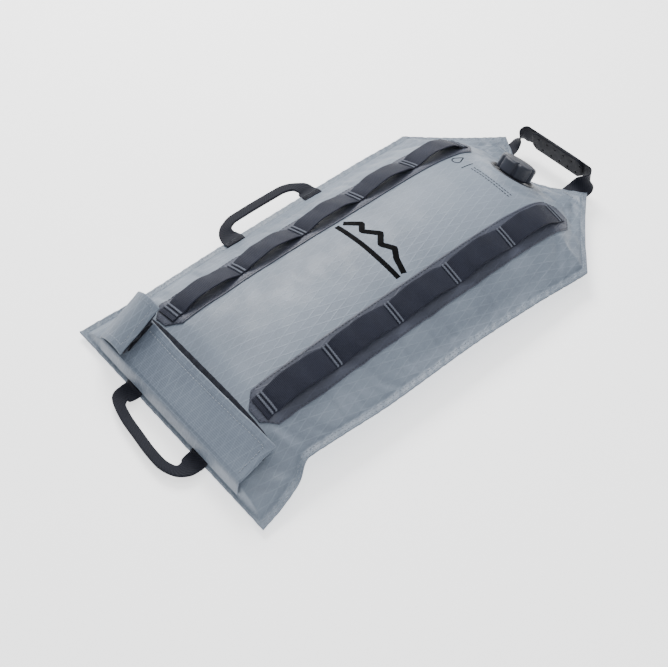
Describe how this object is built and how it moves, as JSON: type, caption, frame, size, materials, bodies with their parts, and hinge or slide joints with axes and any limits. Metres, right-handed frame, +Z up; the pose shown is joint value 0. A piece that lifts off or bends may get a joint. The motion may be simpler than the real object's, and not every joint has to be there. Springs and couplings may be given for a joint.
{
  "type": "dry bag",
  "caption": "Soft sewn dry bag with a screw-cap spout, a hook-and-loop mouth flap, webbing daisy chains down both sides of the front and carry handles.",
  "frame": {"origin": "on the flat underside of the back panel, where the bag rests, in the middle of its width", "axes": "+X to the bag's right edge, +Y along the bag to the screw cap, +Z up out of the front panel"},
  "size_m": [0.3191, 0.611, 0.0773],
  "materials": {
    "shell_fabric": "laminated woven sailcloth, pale blue grey, satin",
    "flap_fabric": "laminated woven sailcloth, pale blue grey, satin",
    "liner_film": "welded translucent film",
    "spout_plastic": "moulded, dark grey",
    "cap_plastic": "moulded, dark blue grey, satin",
    "seal_rubber": "soft black seal",
    "patch_laminate": "laminated slate grey patch, fine weave",
    "webbing": "woven nylon webbing, dark slate",
    "tack_thread": "dense zigzag stitching, slate grey",
    "loop_tape": "napped loop tape, dark",
    "hook_tape": "hook tape, dark",
    "grip_foam": "perforated padded grip, dark"
  },
  "bodies": {
    "shell": {"front_panel": "shell_fabric", "back_panel": "shell_fabric", "inner_liner": "liner_film", "spout_flange": "spout_plastic", "spout_neck": "spout_plastic", "mouth_loop_strip": "loop_tape", "left_patch": "patch_laminate", "left_webbing": "webbing", "left_bartack_1": "tack_thread", "left_bartack_2": "tack_thread", "left_bartack_3": "tack_thread", "left_bartack_4": "tack_thread", "left_bartack_5": "tack_thread", "left_bartack_6": "tack_thread", "right_patch": "patch_laminate", "right_webbing": "webbing", "right_bartack_1": "tack_thread", "right_bartack_2": "tack_thread", "right_bartack_3": "tack_thread", "right_bartack_4": "tack_thread", "right_bartack_5": "tack_thread", "right_bartack_6": "tack_thread", "bottom_anchor_left": "tack_thread", "bottom_anchor_right": "tack_thread", "side_anchor_front": "tack_thread", "side_anchor_rear": "tack_thread", "top_anchor_left": "tack_thread", "top_anchor_right": "tack_thread"},
    "cap_ring": {"cap_seal": "seal_rubber"},
    "cap": {"screw_cap": "cap_plastic"},
    "flap": {"flap_panel": "flap_fabric", "flap_hook_strip": "hook_tape", "flap_loop_pad": "loop_tape"},
    "end_tab": {"end_tab_panel": "flap_fabric", "end_tab_hook": "hook_tape"},
    "top_handle": {"top_handle_webbing": "webbing", "top_handle_pad": "grip_foam"},
    "side_handle": {"side_handle_strap": "webbing"},
    "bottom_handle": {"bottom_handle_strap": "webbing"}
  },
  "joints": [
    {"name": "cap_turn", "type": "hinge", "parent": "shell", "child": "cap_ring", "pos_m": [0, 0.212, 0.04], "axis": [0, 0.6157, 0.788], "range_deg": [0, 900]},
    {"name": "cap_lift", "type": "slide", "parent": "cap_ring", "child": "cap", "axis": [0, 0.6157, 0.788], "range_m": [0, 0.01]},
    {"name": "flap_hinge", "type": "hinge", "parent": "shell", "child": "flap", "pos_m": [0, -0.2715, 0.031], "axis": [1, 0, 0], "range_deg": [0, 120]},
    {"name": "end_tab_fold", "type": "hinge", "parent": "flap", "child": "end_tab", "pos_m": [-0.112, -0.2715, 0.0336], "axis": [0, -0.8575, -0.5145], "range_deg": [0, 120]},
    {"name": "top_handle_swing", "type": "hinge", "parent": "shell", "child": "top_handle", "pos_m": [0, 0.268, 0.02], "axis": [1, 0, 0], "range_deg": [-25, 60]},
    {"name": "side_handle_swing", "type": "hinge", "parent": "shell", "child": "side_handle", "pos_m": [-0.1385, -0.031, 0.028], "axis": [0, 1, 0], "range_deg": [-30, 90]},
    {"name": "bottom_handle_swing", "type": "hinge", "parent": "shell", "child": "bottom_handle", "pos_m": [0, -0.278, 0.006], "axis": [-1, 0, 0], "range_deg": [0, 40]}
  ],
  "couplings": [
    {"joint": "cap_lift", "follows": "cap_turn", "m_per_rad": 0.00063662}
  ]
}
